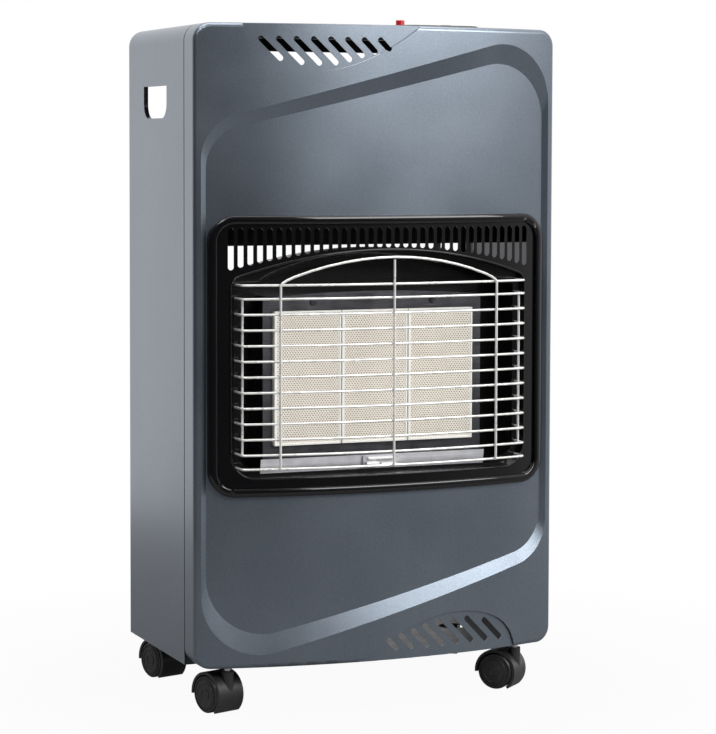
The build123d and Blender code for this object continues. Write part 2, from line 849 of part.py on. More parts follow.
for name, start, length, radius, rise in (
    ("pilot_burner", 2.0, 15.0, 3.4, 6.5),
    ("spark_electrode", 20.0, 18.0, 2.4, 5.5),
    ("thermocouple", 5.0, 30.0, 1.8, 12.5),
):
    with BuildPart() as pilot_piece:
        with BuildSketch(Plane.YZ.offset(pilot_plate_left + start)):
            with Locations((pilot_plate_y - radius, firebox_floor + rise)):
                Circle(radius)
        extrude(amount=length)
        ends = pilot_piece.faces().filter_by(GeomType.PLANE).sort_by(Axis.X)
        chamfer(ends[-1].edges(), radius / 3)
    save(pilot_piece, name)

# Heat shield between the fire and the bay behind it
with BuildPart() as heat_shield:
    with BuildSketch(Plane.XY.offset(base_z + shield_bottom)):
        shield_y = seam_y + shield_depth
        with Locations((0, shield_y + sheet / 2)):
            Rectangle(2 * shell_inner_half, sheet)
        for side in (-1, 1):
            with Locations((side * (shell_inner_half - sheet / 2), shield_y + shield_flange / 2)):
                Rectangle(sheet, shield_flange)
    extrude(amount=shield_top - shield_bottom)
save(heat_shield, "heat_shield")


def guard_point(x, z):
    """A point on the guard's front layer of wires."""
    return (x, bulge_y(x, -(guard_standoff + wire_diameter + weld_gap)), base_z + z)


def wire_along(points):
    """A round wire along a line of points, mitred at each of them."""
    with BuildPart() as wire:
        with BuildLine() as path:
            Polyline(*points)
        with BuildSketch(Plane(origin=path.line @ 0, z_dir=path.line % 0)):
            Circle(wire_diameter / 2)
        sweep(path=path.wires()[0], transition=Transition.RIGHT)
    return wire.part


# Guard wires: a bowed front between two bends, repeated up the window, with straight legs behind
guard_radius = bulge_radius + guard_standoff
bend_x = guard_half_width - guard_bend_radius
bend_y = bulge_axis_y - sqrt((guard_radius - guard_bend_radius) ** 2 - bend_x**2)
bend_turn = degrees(acos(bend_x / (guard_radius - guard_bend_radius)))
leg_front_y = bend_y + wire_diameter
leg_end_y = seam_y + window_flange_depth - sheet
bow_angle = 90 - bend_turn
bow_side = []
for i in range(guard_bend_steps + 1):
    turn = radians(180 + i * bend_turn / guard_bend_steps)
    bow_side.append((-bend_x + guard_bend_radius * cos(turn), bend_y + guard_bend_radius * sin(turn)))
bow_front = []
for i in range(1, guard_bow_steps):
    turn = radians(bow_angle * (2 * i / guard_bow_steps - 1))
    bow_front.append((guard_radius * sin(turn), bulge_axis_y - guard_radius * cos(turn)))
bow = [(-guard_half_width, leg_front_y)] + bow_side + bow_front
bow += [(-x, y) for x, y in reversed(bow_side)] + [(guard_half_width, leg_front_y)]
bowed_wire = wire_along(bow)
guard_heights = [guard_top_wire]
guard_heights += [guard_second_wire - i * guard_pitch for i in range(guard_pitches + 1)]
guard_heights += [guard_last_wire]
with BuildPart() as guard_crosswires:
    for height in guard_heights:
        add(bowed_wire.moved(Location((0, 0, base_z + height))))
save(guard_crosswires, "guard_crosswires")

with BuildPart() as guard_legs:
    with BuildSketch(Plane(origin=(0, leg_front_y, base_z), x_dir=(1, 0, 0), z_dir=(0, -1, 0))):
        with Locations(*[(side * guard_half_width, height) for side in (-1, 1) for height in guard_heights]):
            Circle(wire_diameter / 2)
    extrude(amount=leg_front_y - leg_end_y)
save(guard_legs, "guard_legs")

# Guard uprights: two sides with an arched wire over them, the middle wire and two short end wires
arch_start_x = guard_upright_spread - guard_bend
straight_end = Vector(*guard_point(-guard_upright_spread, guard_shoulder))
bend_foot = straight_end + Vector(0, 0, wire_diameter)
bend_corner = Vector(*guard_point(-guard_upright_spread, guard_arch_z(guard_upright_spread)))
arch_start = Vector(*guard_point(-arch_start_x, guard_arch_z(arch_start_x)))
arch_side = [straight_end]
for i in range(guard_bend_steps + 1):
    share = i / guard_bend_steps
    arch_side.append(
        bend_foot * (1 - share) ** 2 + bend_corner * (2 * share * (1 - share)) + arch_start * share**2
    )
arch_middle = []
for i in range(1, guard_bow_steps):
    arch_x = arch_start_x * (2 * i / guard_bow_steps - 1)
    arch_middle.append(Vector(*guard_point(arch_x, guard_arch_z(arch_x))))
arch = arch_side + arch_middle + [Vector(-p.X, p.Y, p.Z) for p in reversed(arch_side)]
arched_wire = wire_along(arch)
with BuildPart() as guard_uprights:
    add(arched_wire)
    for side in (-1, 1):
        foot = guard_point(side * guard_upright_spread, guard_last_wire)
        with BuildSketch(Plane(origin=foot, z_dir=(0, 0, 1))):
            Circle(wire_diameter / 2)
        extrude(amount=guard_shoulder - guard_last_wire)
    middle_foot = guard_point(0, guard_last_wire)
    with BuildSketch(Plane(origin=middle_foot, z_dir=(0, 0, 1))):
        Circle(wire_diameter / 2)
    extrude(amount=guard_crown - guard_last_wire - wire_diameter - weld_gap)
    for side in (-1, 1):
        end_x = side * guard_end_upright_spread
        end_y = bulge_y(end_x, -guard_end_standoff)
        with BuildSketch(Plane.XY.offset(base_z + guard_second_wire - guard_pitches * guard_pitch)):
            with Locations((end_x, end_y)):
                Circle(wire_diameter / 2)
        extrude(amount=guard_pitches * guard_pitch)
save(guard_uprights, "guard_uprights")

# Control bezel: a low cover on the top with a knob well and a button guide
knob_x = bezel_centre_x + knob_offset
button_x = bezel_centre_x + button_offset
well_radius = knob_diameter / 2 + knob_well_gap
well_floor = top_z - well_depth
button_bore = button_diameter / 2 + button_gap
guide_foot = top_z - button_guide_drop
with BuildPart() as control_bezel:
    with BuildSketch(Plane.XY.offset(top_z)):
        with Locations((bezel_centre_x, bezel_y)):
            RectangleRounded(bezel_length, bezel_width, bezel_radius)
    extrude(amount=bezel_rise)
    fillet(control_bezel.faces().sort_by(Axis.Z)[-1].edges(), bezel_edge_radius)
    with BuildSketch(Plane.XY.offset(top_z)):
        with Locations((bezel_centre_x, bezel_y)):
            RectangleRounded(
                bezel_length - 2 * bezel_overlap, bezel_width - 2 * bezel_overlap, bezel_radius - bezel_overlap
            )
    extrude(amount=bezel_rise - bezel_wall, mode=Mode.SUBTRACT)
    with BuildSketch(Plane.XY.offset(well_floor - bezel_wall)):
        with Locations((knob_x, bezel_y)):
            Circle(well_radius + bezel_wall)
    extrude(amount=well_depth + bezel_rise)
    with BuildSketch(Plane.XY.offset(guide_foot)):
        with Locations((button_x, bezel_y)):
            Circle(button_bore + bezel_wall)
    extrude(amount=button_guide_drop + bezel_rise)
    with BuildSketch(Plane.XY.offset(well_floor)):
        with Locations((knob_x, bezel_y)):
            Circle(well_radius)
    extrude(amount=well_depth + 2 * bezel_rise, mode=Mode.SUBTRACT)
    with BuildSketch(Plane.XY.offset(well_floor - 2 * bezel_wall)):
        with Locations((knob_x, bezel_y)):
            Circle(spindle_diameter / 2 + running_gap)
    extrude(amount=3 * bezel_wall, mode=Mode.SUBTRACT)
    with BuildSketch(Plane.XY.offset(guide_foot)):
        with Locations((button_x, bezel_y)):
            Circle(button_bore)
    extrude(amount=button_guide_drop + 2 * bezel_rise, mode=Mode.SUBTRACT)
save(control_bezel, "control_bezel")

# Control knob with a grip bar, on the valve spindle
knob_foot = well_floor + knob_gap
with BuildPart() as control_knob:
    with BuildSketch(Plane.XY.offset(knob_foot)):
        with Locations((knob_x, bezel_y)):
            Circle(knob_diameter / 2)
    extrude(amount=knob_height)
    with BuildSketch(Plane.XY.offset(knob_foot + knob_skirt)):
        for side in (-1, 1):
            with Locations((knob_x + side * (knob_diameter + knob_grip_width) / 2, bezel_y)):
                Rectangle(knob_diameter, 2 * knob_diameter)
    extrude(amount=knob_height, mode=Mode.SUBTRACT)
    fillet(control_knob.faces().sort_by(Axis.Z)[-1].edges(), knob_edge_radius)
    with BuildSketch(Plane.XY.offset(knob_foot)):
        with Locations((knob_x, bezel_y)):
            Circle(spindle_diameter / 2 + running_gap)
    extrude(amount=spindle_in_knob, mode=Mode.SUBTRACT)
save(control_knob, "control_knob")

# Gas valve under the bezel, with its spindle, hose nozzle and feed pipe
valve_top = well_floor - bezel_wall
valve_foot = valve_top - valve_height
with BuildPart() as valve_spindle:
    with BuildSketch(Plane.XY.offset(valve_top - spindle_in_valve)):
        with Locations((knob_x, bezel_y)):
            Circle(spindle_diameter / 2)
    extrude(amount=spindle_in_valve + bezel_wall + knob_gap + spindle_in_knob - running_gap)
save(valve_spindle, "valve_spindle")

with BuildPart() as gas_valve:
    with BuildSketch(Plane.XY.offset(valve_foot)):
        with Locations((knob_x, bezel_y)):
            RectangleRounded(valve_length, valve_width, valve_corner_radius)
    extrude(amount=valve_height)
    chamfer(gas_valve.faces().sort_by(Axis.Z)[0].edges(), sheet)
    with BuildSketch(Plane.XY.offset(valve_top - spindle_in_valve - spindle_travel - sheet)):
        with Locations((knob_x, bezel_y)):
            Circle(spindle_diameter / 2 + running_gap)
    extrude(amount=spindle_in_valve + spindle_travel + 2 * sheet, mode=Mode.SUBTRACT)
save(gas_valve, "gas_valve")

nozzle_z = valve_foot + valve_height / 2
with BuildPart() as inlet_nozzle:
    with BuildSketch(Plane(origin=(knob_x, bezel_y + valve_width / 2, nozzle_z), z_dir=(1, 0, 0), x_dir=(0, 1, 0))):
        nozzle_root = nozzle_radius - nozzle_barb
        with BuildLine():
            Polyline(
                (0, 0),
                (0, nozzle_nut_radius),
                (nozzle_nut_length, nozzle_nut_radius),
                (nozzle_nut_length, nozzle_radius),
                (nozzle_plain_end, nozzle_radius),
                (nozzle_plain_end, nozzle_root),
                (nozzle_first_barb, nozzle_root),
                (nozzle_first_barb, nozzle_radius),
                ((nozzle_first_barb + nozzle_length) / 2, nozzle_root),
                ((nozzle_first_barb + nozzle_length) / 2, nozzle_radius),
                (nozzle_length, nozzle_root),
                (nozzle_length, 0),
                close=True,
            )
        make_face()
    revolve(axis=Axis((knob_x, bezel_y, nozzle_z), (0, 1, 0)))
    with BuildSketch(Plane(origin=(knob_x, bezel_y + valve_width / 2 + nozzle_length, nozzle_z), z_dir=(0, -1, 0))):
        Circle(nozzle_bore_radius)
    extrude(amount=nozzle_length - nozzle_nut_length / 2, mode=Mode.SUBTRACT)
save(inlet_nozzle, "inlet_nozzle")

manifold_back_y = seam_y + mixing_tube_depth + manifold_size / 2
with BuildPart() as gas_pipe:
    with BuildLine() as pipe_path:
        FilletPolyline(
            (knob_x, bezel_y, valve_foot),
            (knob_x, bezel_y, manifold_middle + pipe_rise),
            (pipe_inlet_x, bezel_y, manifold_middle),
            (pipe_inlet_x, manifold_back_y, manifold_middle),
            radius=pipe_bend_radius,
        )
    with BuildSketch(Plane(origin=(knob_x, bezel_y, valve_foot), z_dir=(0, 0, -1))):
        Circle(pipe_diameter / 2)
    sweep(path=pipe_path.wires()[0])
save(gas_pipe, "gas_pipe")

# Igniter button and the piezo igniter it strikes
button_foot = guide_foot - button_in_piezo
with BuildPart() as igniter_button:
    with BuildSketch(Plane.XY.offset(button_foot)):
        with Locations((button_x, bezel_y)):
            Circle(button_diameter / 2)
    extrude(amount=top_z + bezel_rise + button_rise - button_foot)
    fillet(igniter_button.faces().sort_by(Axis.Z)[-1].edges(), button_edge_radius)
save(igniter_button, "igniter_button")

with BuildPart() as piezo_igniter:
    with BuildSketch(Plane.XY.offset(guide_foot - piezo_length)):
        with Locations((button_x, bezel_y)):
            Circle(piezo_diameter / 2)
    extrude(amount=piezo_length)
    chamfer(piezo_igniter.faces().sort_by(Axis.Z)[0].edges(), sheet)
    with BuildSketch(Plane.XY.offset(button_foot - button_travel - sheet)):
        with Locations((button_x, bezel_y)):
            Circle(button_bore)
    extrude(amount=button_in_piezo + button_travel + 2 * sheet, mode=Mode.SUBTRACT)
save(piezo_igniter, "piezo_igniter")

# Caster stems, each with a collar under the base plate and a nut above it
stem_foot = axle_z + stem_above_axle
with BuildPart() as caster_stems:
    with BuildSketch(Plane.XY.offset(stem_foot)):
        with Locations(*stem_places):
            Circle(stem_diameter / 2)
    extrude(amount=base_floor + base_sheet + stem_nut_height - stem_foot)
    with BuildSketch(Plane.XY.offset(base_floor - stem_collar_height)):
        with Locations(*stem_places):
            Circle(stem_collar_radius)
    extrude(amount=stem_collar_height)
    with BuildSketch(Plane.XY.offset(base_floor + base_sheet)):
        with Locations(*stem_places):
            RegularPolygon(stem_nut_radius, 6)
    extrude(amount=stem_nut_height)
save(caster_stems, "caster_stems")


def hood_sector(radius):
    """A disc without its lower part, open between the hood's rear and front edges."""
    far = 3 * radius
    Circle(radius)
    with BuildLine() as wedge:
        rays = [hood_rear_angle, (hood_rear_angle + hood_front_angle) / 2, hood_front_angle]
        Polyline((0, 0), *[(far * cos(radians(a)), far * sin(radians(a))) for a in rays], close=True)
    make_face(wedge.edges(), mode=Mode.SUBTRACT)


def make_caster(name, place, angle):
    """A twin wheel caster whose axle lies at an angle to the cabinet's width."""
    turn = radians(angle)
    stem_x, stem_y = place
    axle_x = stem_x - caster_trail * sin(turn)
    axle_y = stem_y + caster_trail * cos(turn)
    profile = Plane(
        origin=(axle_x, axle_y, axle_z), x_dir=(sin(turn), -cos(turn), 0), z_dir=(-cos(turn), -sin(turn), 0)
    )
    with BuildPart() as hood:
        with BuildSketch(profile):
            hood_sector(hood_reach)
            Circle(hub_radius)
        extrude(amount=web_width / 2, both=True)
        with BuildSketch(profile):
            hood_sector(hood_reach)
            Circle(hood_reach - hood_thickness, mode=Mode.SUBTRACT)
        extrude(amount=hood_half_length, both=True)
        with BuildSketch(Plane.XY.offset(stem_foot)):
            with Locations(place):
                Circle(stem_boss_diameter / 2)
        extrude(amount=boss_top - stem_foot)
        with BuildSketch(Plane.XY.offset(stem_foot - sheet)):
            with Locations(place):
                Circle(stem_diameter / 2 + running_gap)
        extrude(amount=2 * hood_reach, mode=Mode.SUBTRACT)
        with BuildSketch(profile):
            Circle(axle_diameter / 2 + running_gap)
        extrude(amount=web_width, both=True, mode=Mode.SUBTRACT)
    save(hood, f"caster_hood_{name}")
    wheel_radius = wheel_diameter / 2
    inner = web_width / 2 + wheel_gap
    outer = inner + wheel_width
    axle_half = outer - wheel_face - wheel_gap
    side = Plane(origin=profile.origin, x_dir=profile.z_dir, z_dir=profile.x_dir)
    with BuildPart() as wheels:
        for direction in (-1, 1):
            with BuildSketch(side):
                with BuildLine():
                    Polyline(
                        (direction * inner, axle_diameter / 2),
                        (direction * inner, wheel_radius - tread_edge),
                        (direction * (inner + tread_edge), wheel_radius),
                        (direction * (outer - tread_edge), wheel_radius),
                        (direction * outer, wheel_radius - tread_edge),
                        (direction * outer, wheel_radius - 2 * tread_edge),
                        (direction * (outer - wheel_groove), wheel_radius - 2 * tread_edge),
                        (direction * (outer - wheel_groove), wheel_radius - 3 * tread_edge),
                        (direction * outer, wheel_radius - 3 * tread_edge),
                        (direction * outer, 0),
                        (direction * axle_half, 0),
                        (direction * axle_half, axle_diameter / 2),
                        close=True,
                    )
                make_face()
            revolve(axis=Axis(profile.origin, profile.z_dir))
    save(wheels, f"caster_wheels_{name}")
    with BuildPart() as axle:
        with BuildSketch(profile):
            Circle(axle_diameter / 2)
        extrude(amount=axle_half, both=True)
    save(axle, f"caster_axle_{name}")


caster_names = ("front_left", "front_right", "rear_left", "rear_right")
for name, place, angle in zip(caster_names, stem_places, caster_angles):
    make_caster(name, place, angle)
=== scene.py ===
from functools import partial
from math import cos, pi, sin

import bpy
import numpy as np
from mathutils import Matrix, Vector


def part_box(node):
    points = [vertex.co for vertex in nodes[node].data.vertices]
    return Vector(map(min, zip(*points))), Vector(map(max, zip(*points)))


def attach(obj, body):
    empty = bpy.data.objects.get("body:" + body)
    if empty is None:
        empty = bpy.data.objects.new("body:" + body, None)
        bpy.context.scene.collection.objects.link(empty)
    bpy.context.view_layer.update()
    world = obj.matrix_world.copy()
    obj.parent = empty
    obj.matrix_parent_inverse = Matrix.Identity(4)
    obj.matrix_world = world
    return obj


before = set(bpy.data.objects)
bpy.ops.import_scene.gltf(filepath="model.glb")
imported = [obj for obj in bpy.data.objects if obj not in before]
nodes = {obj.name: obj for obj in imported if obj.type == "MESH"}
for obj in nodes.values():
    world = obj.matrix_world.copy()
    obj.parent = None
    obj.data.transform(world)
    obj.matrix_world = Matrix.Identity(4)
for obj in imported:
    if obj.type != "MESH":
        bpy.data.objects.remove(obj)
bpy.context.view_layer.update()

# The bulged front: every wire and face of it lies on cylinders round one upright axis
casing_foot = 0.051
bulge_radius = 0.72679
axis_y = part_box("front_panel")[0].y + bulge_radius

# The guard's round wires, with their heights above the casing's foot, and its full uprights
wire_radius = 0.0013
guard_standoff = 0.0113
weld_gap = 0.000015
weld_standoff = guard_standoff + wire_radius + weld_gap
top_wire, second_wire, last_wire = 0.4074, 0.393, 0.2136
wire_pitch, pitched_wires = 0.01646, 11
upright_spread = 0.1253
wire_heights = [top_wire] + [second_wire - i * wire_pitch for i in range(pitched_wires)] + [last_wire]
upright_places = [-upright_spread, 0.0, upright_spread]

# The controls on the top and the casters under the foot
knob_low, knob_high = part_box("control_knob")
bezel_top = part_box("control_bezel")[1].z
caster_places = ("front_left", "front_right", "rear_left", "rear_right")


def surface(name, points, loop=False):
    """A mesh from point grids of shape (copies, along, around, 3). Each quad joins four neighbours, and the
    around direction closes on itself. The along direction closes on itself too where loop is true, and
    otherwise one face closes the first and the last ring of every copy."""
    copies, along, around, _ = points.shape
    index = np.arange(copies * along * around).reshape(copies, along, around)
    nearer, further = (index, np.roll(index, -1, 1)) if loop else (index[:, :-1], index[:, 1:])
    quads = np.stack(
        [nearer, np.roll(nearer, -1, 2), np.roll(further, -1, 2), further], axis=-1
    ).reshape(-1, 4)
    ends = [] if loop else index[:, 0, ::-1].tolist() + index[:, -1].tolist()
    faces = quads.tolist() + ends
    mesh = bpy.data.meshes.new(name)
    mesh.from_pydata(points.reshape(-1, 3).tolist(), [], faces)
    mesh.polygons.foreach_set("use_smooth", [len(f) == 4 for f in faces])
    mesh.update()
    piece = bpy.data.objects.new(name, mesh)
    bpy.context.scene.collection.objects.link(piece)
    return piece


def beads(name, centres, radii, around=10, along=7, pole=0.12):
    """Flattened beads. A bead is centre + (a sin v cos u, b sin v sin u, -c cos v), where u runs once
    round, v runs from pole to pi - pole, and a, b and c are the bead's three radii."""
    centres = np.asarray(centres, float)
    radii = np.broadcast_to(np.asarray(radii, float), centres.shape)
    v = np.linspace(pole, pi - pole, along)[:, None]
    u = np.linspace(0, 2 * pi, around, endpoint=False)[None, :]
    unit = np.stack(
        [np.sin(v) * np.cos(u), np.sin(v) * np.sin(u), -np.cos(v) * np.ones_like(u)], axis=-1
    )
    return surface(name, centres[:, None, None, :] + unit[None] * radii[:, None, None, :])


def fluted_ring(name, centre, radius, flute_depth, flutes, foot, top, points_per_flute=8):
    """A fluted band. At the height z and the angle u its radius is
    radius + flute_depth * rise(z) * cos(flutes * u / 2) ** 2. The rise is 1 at mid height and 0 at both
    rims, where the band turns in by 1.5 flute depths to meet the skirt."""
    u = np.linspace(0, 2 * pi, flutes * points_per_flute, endpoint=False)[None, :]
    share = np.array([0.0, 0.0, 0.12, 0.5, 0.88, 1.0, 1.0])[:, None]
    rise = np.array([-1.5, 0.0, 0.8, 1.0, 0.8, 0.0, -1.5])[:, None]
    reach = radius + flute_depth * np.where(rise > 0, rise * np.cos(flutes * u / 2) ** 2, rise)
    z = foot + (top - foot) * share * np.ones_like(u)
    points = np.stack([centre[0] + reach * np.cos(u), centre[1] + reach * np.sin(u), z], axis=-1)
    return surface(name, points[None])


def wheel_rings(name, hub, axle, radii, thickness):
    """Raised rings on a wheel's outer face. Each ring is a torus: its point is
    hub - axle * thickness * sin v + (r + thickness * cos v) * (across cos u + up sin u)."""
    across = np.array(Vector((0, 0, 1)).cross(axle))
    up = np.array((0.0, 0.0, 1.0))
    u = np.linspace(0, 2 * pi, 48, endpoint=False)[None, :, None, None]
    v = np.linspace(0, 2 * pi, 8, endpoint=False)[None, None, :, None]
    reach = np.asarray(radii)[:, None, None, None] + thickness * np.cos(v)
    flat = reach * (across * np.cos(u) + up * np.sin(u))
    points = np.array(hub) + flat - np.array(axle) * thickness * np.sin(v)
    return surface(name, points, loop=True)


def rounded_line(arcs, spacing=0.004, arc_step=0.2):
    """Evenly spaced points of a closed line of arcs joined by straight runs, and its outward normals. An
    arc's point is centre + radius * (cos t, sin t) in x and z, with t running from its first to its last
    angle, and every arc is (centre x, centre z, radius, first, last) with its angles in degrees."""
    corners = []
    for x, z, radius, first, last in arcs:
        steps = max(9, int(radius * abs(last - first) / arc_step) + 2)
        t = np.radians(np.linspace(first, last, steps))
        corners.append(np.stack([x + radius * np.cos(t), z + radius * np.sin(t)], axis=-1))
    line = np.concatenate(corners + [corners[0][:1]])
    way = np.concatenate([[0], np.cumsum(np.linalg.norm(np.diff(line, axis=0), axis=1))])
    places = np.linspace(0, way[-1], int(way[-1] / spacing), endpoint=False)
    places = np.union1d(places, way[:-1])
    places = places[np.concatenate([[True], np.diff(places) > 1e-5])]
    points = np.stack([np.interp(places, way, line[:, k]) for k in (0, 1)], axis=-1)
    ahead = np.roll(points, -1, 0) - np.roll(points, 1, 0)
    ahead /= np.linalg.norm(ahead, axis=1)[:, None]
    return points, np.stack([ahead[:, 1], -ahead[:, 0]], axis=-1)


def rolled_bead(name, arcs, standoff, half_width, height, root):
    """A bead that follows a closed line on the bulged skin. Across the line its section is
    half_width * cos v, and towards the front it is height * sin v, or root * sin v behind the line."""
    points, outward = rounded_line(arcs)
    v = np.linspace(0, 2 * pi, 16, endpoint=False)[None, :]
    x = points[:, :1] + outward[:, :1] * half_width * np.cos(v)
    z = points[:, 1:] + outward[:, 1:] * half_width * np.cos(v)
    rise = -np.sin(v)
    reach = bulge_radius + standoff + rise * np.where(rise > 0, height, root)
    y = axis_y - np.sqrt(reach**2 - x**2)
    return surface(name, np.stack([x, y, z + casing_foot], axis=-1)[None], loop=True)


def on_bulge(x, z, standoff):
    """A point at x and z whose distance in front of the bulged skin, along the skin's radius, is standoff."""
    return (x, axis_y - ((bulge_radius + standoff) ** 2 - x**2) ** 0.5, casing_foot + z)


def tint(r, g, b):
    """A colour with full cover, as the shader's sockets take it."""
    return (r, g, b, 1.0)


def add(tree, kind, links=None, **settings):
    """Adds a node: settings are its properties, and links are values or sockets for its inputs."""
    made = tree.nodes.new(kind)
    for key, value in settings.items():
        setattr(made, key, value)
    for key, value in (links or {}).items():
        if isinstance(value, bpy.types.NodeSocket):
            tree.links.new(value, made.inputs[key])
        else:
            made.inputs[key].default_value = value
    return made


def reckon(tree, operation, *values):
    """Adds a Math node and hands back its result."""
    return add(tree, "ShaderNodeMath", dict(enumerate(values)), operation=operation).outputs[0]


def noise(tree, place, scale, detail):
    """Adds a noise over a place and hands back its value."""
    return add(tree, "ShaderNodeTexNoise", {"Vector": place, "Scale": scale, "Detail": detail}).outputs["Fac"]


def stretch(tree, value, low, high):
    """Hands back a share that is 0 at low and under it, and 1 at high and over it."""
    return add(tree, "ShaderNodeMapRange", {"Value": value, "From Min": low, "From Max": high}).outputs[0]


def between(tree, share, first, second):
    """Hands back the first colour where the share is 0, the second where it is 1, and a mix between."""
    return add(tree, "ShaderNodeMix", {"Factor": share, 6: first, 7: second}, data_type="RGBA").outputs[2]


def relief(tree, strength, distance, height):
    """Hands back the normal of a bump."""
    return add(
        tree, "ShaderNodeBump", {"Strength": strength, "Distance": distance, "Height": height}
    ).outputs[0]


def group(name, inputs, outputs):
    """An empty shader group with named sockets, and its input and output nodes."""
    tree = bpy.data.node_groups.new(name, "ShaderNodeTree")
    for label, kind, value in inputs:
        socket = tree.interface.new_socket(label, in_out="INPUT", socket_type="NodeSocket" + kind)
        if value is not None:
            socket.default_value = value
    for label, kind in outputs:
        tree.interface.new_socket(label, in_out="OUTPUT", socket_type="NodeSocket" + kind)
    return tree, tree.nodes.new("NodeGroupInput").outputs, tree.nodes.new("NodeGroupOutput").inputs


def put_out(tree, out, **results):
    """Links results to the group's output sockets of the same names."""
    for label, result in results.items():
        tree.links.new(result, out[label])


skin_outputs = [("Color", "Color"), ("Roughness", "Float"), ("Normal", "Vector")]


def flake_paint():
    """Stoved metallic paint: fine flakes and slow drifts of tone between two colours, with orange peel."""
    tree, given, out = group(
        "flake_paint",
        [("Vector", "Vector", None), ("Body", "Color", None), ("Flake", "Color", None),
         ("Roughness", "Float", 0.35), ("Peel", "Float", 0.1)],
        skin_outputs,
    )
    place = given["Vector"]
    flakes = add(tree, "ShaderNodeTexVoronoi", {"Vector": place, "Scale": 1500.0}).outputs["Color"]
    drift = noise(tree, place, 9.0, 3.0)
    share = reckon(tree, "MULTIPLY_ADD", drift, 0.45, reckon(tree, "MULTIPLY", flakes, 0.55))
    swing = reckon(tree, "SUBTRACT", drift, 0.5)
    put_out(
        tree, out,
        Color=between(tree, share, given["Body"], given["Flake"]),
        Roughness=reckon(tree, "MULTIPLY_ADD", swing, 0.14, given["Roughness"]),
        Normal=relief(tree, given["Peel"], 0.0004, noise(tree, place, 420.0, 1.0)),
    )
    return tree


def grain():
    """Moulded or cast skin: a fine pebbled bump, with gloss and tone that vary with it."""
    tree, given, out = group(
        "grain",
        [("Vector", "Vector", None), ("Dark", "Color", None), ("Light", "Color", None),
         ("Scale", "Float", 900.0), ("Depth", "Float", 0.2), ("Roughness", "Float", 0.4)],
        skin_outputs,
    )
    pebble = noise(tree, given["Vector"], given["Scale"], 3.0)
    slow = noise(tree, given["Vector"], 30.0, 4.0)
    share = stretch(tree, reckon(tree, "MULTIPLY", pebble, slow), 0.12, 0.42)
    put_out(
        tree, out,
        Color=between(tree, share, given["Dark"], given["Light"]),
        Roughness=reckon(tree, "MULTIPLY_ADD", share, 0.16, given["Roughness"]),
        Normal=relief(tree, given["Depth"], 0.0003, pebble),
    )
    return tree


def rolled_sheet():
    """Rolled or drawn metal: long streaks along one axis, which stretch sets, and faint blotches."""
    tree, given, out = group(
        "rolled_sheet",
        [("Vector", "Vector", None), ("Stretch", "Vector", (20.0, 900.0, 900.0)), ("Dark", "Color", None),
         ("Light", "Color", None), ("Roughness", "Float", 0.3), ("Depth", "Float", 0.15)],
        skin_outputs,
    )
    drawn = add(tree, "ShaderNodeVectorMath", {0: given["Vector"], 1: given["Stretch"]}, operation="MULTIPLY")
    streak = noise(tree, drawn.outputs[0], 1.0, 3.0)
    blotch = noise(tree, given["Vector"], 60.0, 5.0)
    share = stretch(tree, reckon(tree, "ADD", streak, blotch), 0.7, 1.3)
    put_out(
        tree, out,
        Color=between(tree, share, given["Dark"], given["Light"]),
        Roughness=reckon(tree, "MULTIPLY_ADD", share, 0.12, given["Roughness"]),
        Normal=relief(tree, given["Depth"], 0.0002, streak),
    )
    return tree


def pinholes():
    """Rows of round holes on a plaque's face. Every second row is shifted by half a pitch; the mask is 1
    inside a hole of the given radius and 0 outside it, and it stays 0 within the plaque's plain border."""
    tree, given, out = group(
        "pinholes",
        [("Vector", "Vector", None), ("Centre X", "Float", 0.0), ("Centre Z", "Float", 0.0),
         ("Half Width", "Float", 0.036), ("Half Height", "Float", 0.069), ("Pitch X", "Float", 0.0031),
         ("Pitch Z", "Float", 0.0022), ("Radius", "Float", 0.0007)],
        [("Mask", "Float"), ("Face", "Float")],
    )
    math = partial(reckon, tree)
    place = add(tree, "ShaderNodeSeparateXYZ", {"Vector": given["Vector"]}).outputs
    x = math("SUBTRACT", place["X"], given["Centre X"])
    z = math("SUBTRACT", place["Z"], given["Centre Z"])
    row = math("DIVIDE", z, given["Pitch Z"])
    odd = math("MULTIPLY", math("MODULO", math("ABSOLUTE", math("FLOOR", row)), 2.0), 0.5)
    column = math("ADD", math("DIVIDE", x, given["Pitch X"]), odd)
    across = math("MULTIPLY", math("SUBTRACT", math("FRACT", column), 0.5), given["Pitch X"])
    upward = math("MULTIPLY", math("SUBTRACT", math("FRACT", row), 0.5), given["Pitch Z"])
    away = math("SQRT", math("ADD", math("MULTIPLY", across, across), math("MULTIPLY", upward, upward)))
    hole = add(
        tree,
        "ShaderNodeMapRange",
        {"Value": math("DIVIDE", away, given["Radius"]), "From Min": 0.75, "From Max": 1.15, "To Min": 1.0,
         "To Max": 0.0},
    ).outputs[0]
    inside = math(
        "MULTIPLY",
        math("LESS_THAN", math("ABSOLUTE", x), given["Half Width"]),
        math("LESS_THAN", math("ABSOLUTE", z), given["Half Height"]),
    )
    put_out(tree, out, Mask=math("MULTIPLY", hole, inside), Face=inside)
    return tree


